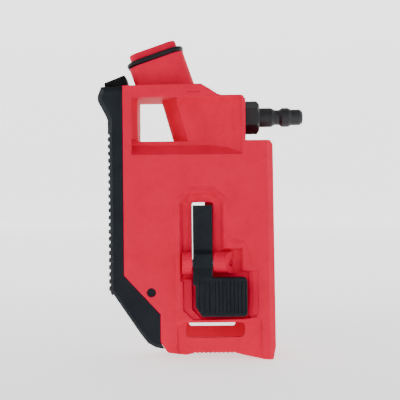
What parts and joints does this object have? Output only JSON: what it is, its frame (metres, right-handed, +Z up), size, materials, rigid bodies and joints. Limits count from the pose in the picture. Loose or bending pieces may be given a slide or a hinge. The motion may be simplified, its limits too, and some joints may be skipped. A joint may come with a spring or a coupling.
{
  "type": "airsoft air-supply magazine adapter",
  "caption": "Printed adapter with a magazine well, a slanted sealed neck, a quick-connect air plug, a ribbed front grip and a sprung side release lever.",
  "frame": {"origin": "middle of the magazine well in X and Y, at the height of the body's lowest edge", "axes": "+X to the rear, where the air plug points; +Y to the right side, away from the release lever; +Z up, the way a magazine goes in"},
  "size_m": [0.0846, 0.035, 0.1311],
  "materials": {
    "red_nylon": "matt sintered red nylon, faintly mottled",
    "black_nylon": "matt blue-black nylon",
    "pad_rubber": "black rubber pad",
    "black_rubber": "smooth black seal rubber",
    "black_steel": "blackened turned steel, satin",
    "polished_steel": "bright steel",
    "brass": "turned brass",
    "clear_nylon": "milky nylon tube"
  },
  "bodies": {
    "body": {"housing": "red_nylon", "neck_insert": "red_nylon", "neck_o_ring": "black_rubber", "feed_tube": "polished_steel", "gas_tube": "clear_nylon", "gas_nozzle": "brass", "gas_nozzle_o_ring": "black_rubber", "neck_screws": "polished_steel", "neck_screw_inserts": "brass", "inlet_bush": "brass", "inlet_bush_o_ring": "black_rubber", "air_plug": "black_steel", "air_plug_washer": "black_rubber", "front_grip": "black_nylon", "grip_pins": "black_nylon", "front_pad": "pad_rubber", "lever_pin": "polished_steel", "lever_spring": "polished_steel"},
    "lever": {"release_lever": "black_nylon"}
  },
  "joints": [
    {"name": "release_lever_hinge", "type": "hinge", "parent": "body", "child": "lever", "pos_m": [0.0049, -0.0146, 0.0395], "axis": [1, 0, 0], "range_deg": [0, 8], "stiffness_Nm_per_rad": 0.12, "springref_deg": -17.19, "deforming": ["lever_spring"]}
  ]
}
